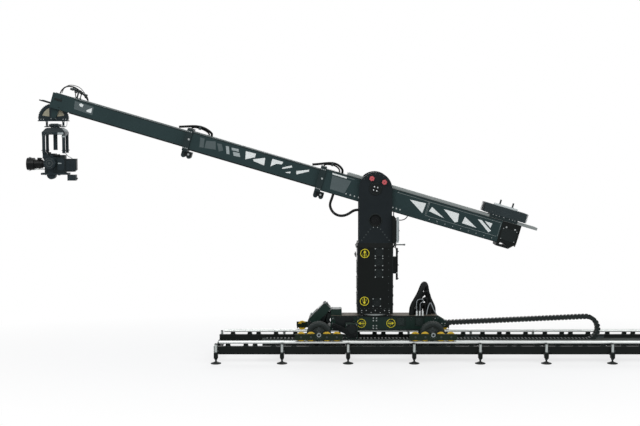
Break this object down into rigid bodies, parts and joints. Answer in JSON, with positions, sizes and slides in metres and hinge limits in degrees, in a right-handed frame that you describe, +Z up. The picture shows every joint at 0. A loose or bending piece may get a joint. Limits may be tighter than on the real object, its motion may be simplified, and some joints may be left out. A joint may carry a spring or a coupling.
{
  "type": "telescopic camera crane",
  "caption": "Telescopic camera crane: counterweighted box arm on a slewing column, wheeled dolly on raised rail track, energy chain, levelling nose and remote head with camera.",
  "frame": {"origin": "floor level under the middle of the whole crane's length and width, at the stored pose", "axes": "+X runs along the track from the camera's side to the track's far end, +Y from the near rail to the far rail, +Z up"},
  "size_m": [11.014, 1.2776, 4.1017],
  "materials": {
    "rail_steel": "satin",
    "track_paint": "satin",
    "jack_metal": "satin",
    "foot_plastic": "matte",
    "tray_metal": "satin",
    "chain_plastic": "matte",
    "dolly_paint": "satin",
    "bogie_paint": "satin",
    "axle_steel": "satin",
    "road_tyre": "matte",
    "track_wheel": "satin",
    "ring_steel": "satin",
    "column_paint": "satin",
    "arm_metal": "satin",
    "collar_metal": "satin",
    "weight_iron": "matte",
    "slab_steel": "satin",
    "knob_red": "gloss",
    "cable_sleeve": "matte",
    "head_metal": "satin",
    "camera_shell": "matte",
    "lens_black": "satin"
  },
  "bodies": {
    "track": {"track_rails": "rail_steel", "track_beams": "track_paint", "cross_ties": "track_paint", "jack_posts": "jack_metal", "jack_housings": "jack_metal", "jack_feet": "foot_plastic", "cable_tray": "tray_metal", "chain_lower_run": "chain_plastic"},
    "dolly": {"chassis": "dolly_paint", "axle_beams": "axle_steel", "dolly_boxes": "dolly_paint", "chain_bracket": "dolly_paint", "chain_upper_run": "chain_plastic", "cable_loom": "cable_sleeve", "bogie_frames": "bogie_paint", "slew_ring": "ring_steel"},
    "loop": {"chain_loop": "chain_plastic"},
    "turntable": {"turntable_ring": "ring_steel", "column_housing": "column_paint", "cheek_near": "column_paint", "cheek_far": "column_paint", "service_covers": "column_paint", "control_cabinet": "column_paint", "cable_bar": "column_paint"},
    "lever": {"slew_lever": "ring_steel"},
    "knob_front": {"brake_knob_front": "knob_red"},
    "knob_rear": {"brake_knob_rear": "knob_red"},
    "arm": {"pivot_trunnions": "ring_steel", "outer_tube": "arm_metal", "outer_collar": "collar_metal", "weight_rail": "arm_metal", "rear_housing": "camera_shell", "cable_hoop_rear": "cable_sleeve", "arm_cable_loop": "cable_sleeve"},
    "carriage": {"weight_carriage": "slab_steel", "weight_plates": "weight_iron", "weight_clamp": "slab_steel"},
    "mid": {"mid_tube": "arm_metal", "mid_collar": "collar_metal", "cable_hoop_front": "cable_sleeve"},
    "inner": {"inner_tube": "arm_metal"},
    "level": {"level_sector": "head_metal", "head_hanger": "head_metal"},
    "pan": {"pan_frame": "head_metal", "tilt_drive": "head_metal"},
    "camera": {"camera_cradle": "head_metal", "camera_body": "camera_shell", "lens": "lens_black"},
    "wheel_front_near": {"road_wheel_front_near": "road_tyre"},
    "wheel_front_far": {"road_wheel_front_far": "road_tyre"},
    "wheel_rear_near": {"road_wheel_rear_near": "road_tyre"},
    "wheel_rear_far": {"road_wheel_rear_far": "road_tyre"},
    "roller_1": {"track_wheels_1": "track_wheel"},
    "roller_2": {"track_wheels_2": "track_wheel"},
    "roller_3": {"track_wheels_3": "track_wheel"},
    "roller_4": {"track_wheels_4": "track_wheel"},
    "roller_5": {"track_wheels_5": "track_wheel"},
    "roller_6": {"track_wheels_6": "track_wheel"},
    "roller_7": {"track_wheels_7": "track_wheel"},
    "roller_8": {"track_wheels_8": "track_wheel"}
  },
  "joints": [
    {"name": "dolly_travel", "type": "slide", "parent": "track", "child": "dolly", "axis": [1, 0, 0], "range_m": [-1.1, 2.4], "deforming": ["chain_lower_run", "chain_upper_run"]},
    {"name": "chain_roll", "type": "slide", "parent": "dolly", "child": "loop", "axis": [1, 0, 0], "range_m": [-1.25, 0.6]},
    {"name": "spin_front_near", "type": "hinge", "parent": "dolly", "child": "wheel_front_near", "pos_m": [-1.01246, -0.41, 0.435], "axis": [0, 1, 0], "continuous": true},
    {"name": "spin_front_far", "type": "hinge", "parent": "dolly", "child": "wheel_front_far", "pos_m": [-1.01246, 0.41, 0.435], "axis": [0, 1, 0], "continuous": true},
    {"name": "spin_rear_near", "type": "hinge", "parent": "dolly", "child": "wheel_rear_near", "pos_m": [0.71754, -0.41, 0.435], "axis": [0, 1, 0], "continuous": true},
    {"name": "spin_rear_far", "type": "hinge", "parent": "dolly", "child": "wheel_rear_far", "pos_m": [0.71754, 0.41, 0.435], "axis": [0, 1, 0], "continuous": true},
    {"name": "roll_1", "type": "hinge", "parent": "dolly", "child": "roller_1", "pos_m": [-1.28246, 0, 0.40312], "axis": [0, 1, 0], "continuous": true},
    {"name": "roll_2", "type": "hinge", "parent": "dolly", "child": "roller_2", "pos_m": [-1.13246, 0, 0.40312], "axis": [0, 1, 0], "continuous": true},
    {"name": "roll_3", "type": "hinge", "parent": "dolly", "child": "roller_3", "pos_m": [-0.89246, 0, 0.40312], "axis": [0, 1, 0], "continuous": true},
    {"name": "roll_4", "type": "hinge", "parent": "dolly", "child": "roller_4", "pos_m": [-0.74246, 0, 0.40312], "axis": [0, 1, 0], "continuous": true},
    {"name": "roll_5", "type": "hinge", "parent": "dolly", "child": "roller_5", "pos_m": [0.44754, 0, 0.40312], "axis": [0, 1, 0], "continuous": true},
    {"name": "roll_6", "type": "hinge", "parent": "dolly", "child": "roller_6", "pos_m": [0.59754, 0, 0.40312], "axis": [0, 1, 0], "continuous": true},
    {"name": "roll_7", "type": "hinge", "parent": "dolly", "child": "roller_7", "pos_m": [0.83754, 0, 0.40312], "axis": [0, 1, 0], "continuous": true},
    {"name": "roll_8", "type": "hinge", "parent": "dolly", "child": "roller_8", "pos_m": [0.98754, 0, 0.40312], "axis": [0, 1, 0], "continuous": true},
    {"name": "column_slew", "type": "hinge", "parent": "dolly", "child": "turntable", "pos_m": [-0.14746, 0, 0.676], "axis": [0, 0, 1], "continuous": true},
    {"name": "lever_swing", "type": "hinge", "parent": "turntable", "child": "lever", "pos_m": [0.17384, 0.1, 1.74], "axis": [0, 0, 1], "range_deg": [-30, 30]},
    {"name": "knob_turn_front", "type": "hinge", "parent": "turntable", "child": "knob_front", "pos_m": [-0.2052, -0.23, 2.78777], "axis": [0, 1, 0], "continuous": true},
    {"name": "knob_turn_rear", "type": "hinge", "parent": "turntable", "child": "knob_rear", "pos_m": [-0.01347, -0.23, 2.73134], "axis": [0, 1, 0], "continuous": true},
    {"name": "arm_tilt", "type": "hinge", "parent": "turntable", "child": "arm", "pos_m": [-0.14746, 0, 2.63], "axis": [0, 1, 0], "range_deg": [-26, 26], "deforming": ["arm_cable_loop"]},
    {"name": "telescope_mid", "type": "slide", "parent": "arm", "child": "mid", "axis": [-0.9593, 0, 0.2823], "range_m": [-1.55, 0.1]},
    {"name": "telescope_inner", "type": "slide", "parent": "mid", "child": "inner", "axis": [-0.9593, 0, 0.2823], "range_m": [-1.55, 0.1]},
    {"name": "weight_travel", "type": "slide", "parent": "arm", "child": "carriage", "axis": [-0.9593, 0, 0.2823], "range_m": [-0.1, 1.3]},
    {"name": "nose_level", "type": "hinge", "parent": "inner", "child": "level", "pos_m": [-5.09184, 0, 3.69535], "axis": [0, 1, 0], "range_deg": [-26, 26]},
    {"name": "head_pan", "type": "hinge", "parent": "level", "child": "pan", "pos_m": [-5.06984, 0, 3.56535], "axis": [0, 0, 1], "continuous": true},
    {"name": "camera_tilt", "type": "hinge", "parent": "pan", "child": "camera", "pos_m": [-5.13284, 0, 3.01635], "axis": [0, 1, 0], "range_deg": [-20, 45]}
  ],
  "couplings": [
    {"joint": "chain_roll", "follows": "dolly_travel", "ratio": -0.5},
    {"joint": "roll_1", "follows": "dolly_travel", "rad_per_m": 15.465},
    {"joint": "roll_2", "follows": "dolly_travel", "rad_per_m": 15.465},
    {"joint": "roll_3", "follows": "dolly_travel", "rad_per_m": 15.465},
    {"joint": "roll_4", "follows": "dolly_travel", "rad_per_m": 15.465},
    {"joint": "roll_5", "follows": "dolly_travel", "rad_per_m": 15.465},
    {"joint": "roll_6", "follows": "dolly_travel", "rad_per_m": 15.465},
    {"joint": "roll_7", "follows": "dolly_travel", "rad_per_m": 15.465},
    {"joint": "roll_8", "follows": "dolly_travel", "rad_per_m": 15.465},
    {"joint": "telescope_inner", "follows": "telescope_mid", "ratio": 1},
    {"joint": "weight_travel", "follows": "telescope_mid", "ratio": -0.8},
    {"joint": "nose_level", "follows": "arm_tilt", "ratio": -1}
  ]
}
